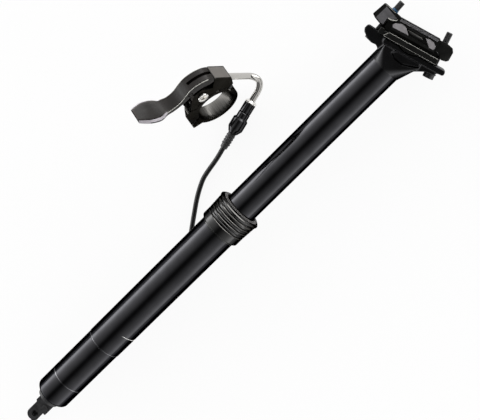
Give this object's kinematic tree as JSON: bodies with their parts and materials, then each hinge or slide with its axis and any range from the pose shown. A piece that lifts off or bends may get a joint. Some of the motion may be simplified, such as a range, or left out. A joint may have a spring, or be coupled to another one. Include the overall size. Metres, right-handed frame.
{
  "type": "dropper seatpost",
  "caption": "Telescopic bicycle seatpost with a tilting two-bolt saddle clamp, a clamp-on thumb remote and its cable.",
  "frame": {"origin": "on the post's axis at the collar's lower face, where the bicycle's seat tube ends", "axes": "+X along the post towards the saddle, +Y to the bicycle's front, +Z to its left side, which is up as it lies"},
  "size_m": [0.5629, 0.1824, 0.0789],
  "materials": {
    "black_anodised": "satin",
    "collar_black": "satin",
    "clamp_black": "satin",
    "lever_grey": "satin",
    "black_steel": "satin",
    "steel": "polished",
    "silver": "polished",
    "brass": "satin",
    "bearing": "matte",
    "rubber": "matte",
    "black_plastic": "gloss",
    "housing": "satin",
    "ferrule": "matte"
  },
  "bodies": {
    "base": {"outer_tube": "black_anodised", "collar": "collar_black", "wiper_seal": "rubber", "upper_bushing": "bearing", "bottom_cap": "black_anodised", "actuator_bracket": "clamp_black", "actuator_pin": "black_steel", "cartridge_rod": "steel", "cartridge_piston": "silver", "rod_nut": "silver", "remote_bracket": "clamp_black", "pivot_bolt": "silver", "pivot_bush": "bearing", "return_spring": "steel", "clamp_hinge_pin": "black_steel", "noodle": "steel", "noodle_flange": "silver", "adjuster_barrel": "black_plastic", "housing_ferrule": "ferrule", "cable_run": "housing", "cable_coil": "housing", "coil_tie": "ferrule", "end_ferrule": "ferrule", "cable_end": "steel"},
    "shaft": {"shaft_tube": "black_anodised", "post_head": "black_anodised", "lower_bushing": "bearing", "guide_pins": "brass", "cartridge_cylinder": "silver", "cartridge_gland": "black_plastic", "cartridge_plug": "silver", "clamp_bolts": "black_steel", "bolt_washers": "black_steel"},
    "saddle_clamp": {"lower_cradle": "clamp_black", "upper_clamp": "clamp_black", "barrel_nuts": "steel"},
    "lever": {"remote_lever": "lever_grey", "cable_screw": "black_steel"},
    "band": {"clamp_band": "clamp_black", "clamp_bolt": "steel"},
    "actuator": {"actuator_lever": "clamp_black"},
    "valve": {"valve_pin": "steel"},
    "float": {"floating_piston": "silver"},
    "knob": {"adjuster_knob": "black_plastic"}
  },
  "joints": [
    {"name": "post_travel", "type": "slide", "parent": "base", "child": "shaft", "axis": [-1, 0, 0], "range_m": [0, 0.15]},
    {"name": "saddle_tilt", "type": "hinge", "parent": "shaft", "child": "saddle_clamp", "pos_m": [0.21672, 0, 0], "axis": [0, 0, 1], "range_deg": [-5, 5]},
    {"name": "remote_lever", "type": "hinge", "parent": "base", "child": "lever", "pos_m": [0.07181, 0.08648, 0.01861], "axis": [-0.0754, -0.9144, 0.3978], "range_deg": [0, 25], "stiffness_Nm_per_rad": 0.4, "springref_deg": -8.59},
    {"name": "clamp_open", "type": "hinge", "parent": "base", "child": "band", "pos_m": [0.08896, 0.07759, 0.00143], "axis": [-0.0754, -0.9144, 0.3978], "range_deg": [0, 38]},
    {"name": "actuator_turn", "type": "hinge", "parent": "base", "child": "actuator", "pos_m": [-0.2155, -0.0041, 0], "axis": [0, 0, -1], "range_deg": [0, 17.2]},
    {"name": "valve_push", "type": "slide", "parent": "base", "child": "valve", "axis": [1, 0, 0], "range_m": [0, 0.0015]},
    {"name": "float_slide", "type": "slide", "parent": "shaft", "child": "float", "axis": [1, 0, 0], "range_m": [0, 0.0375]},
    {"name": "adjuster_turn", "type": "hinge", "parent": "base", "child": "knob", "pos_m": [0.07, 0.05004, -0.0196], "axis": [-0.9744, -0.225, 0], "continuous": true}
  ],
  "couplings": [
    {"joint": "actuator_turn", "follows": "remote_lever", "ratio": 0.688},
    {"joint": "valve_push", "follows": "remote_lever", "m_per_rad": 0.003435},
    {"joint": "float_slide", "follows": "post_travel", "ratio": 0.25}
  ]
}
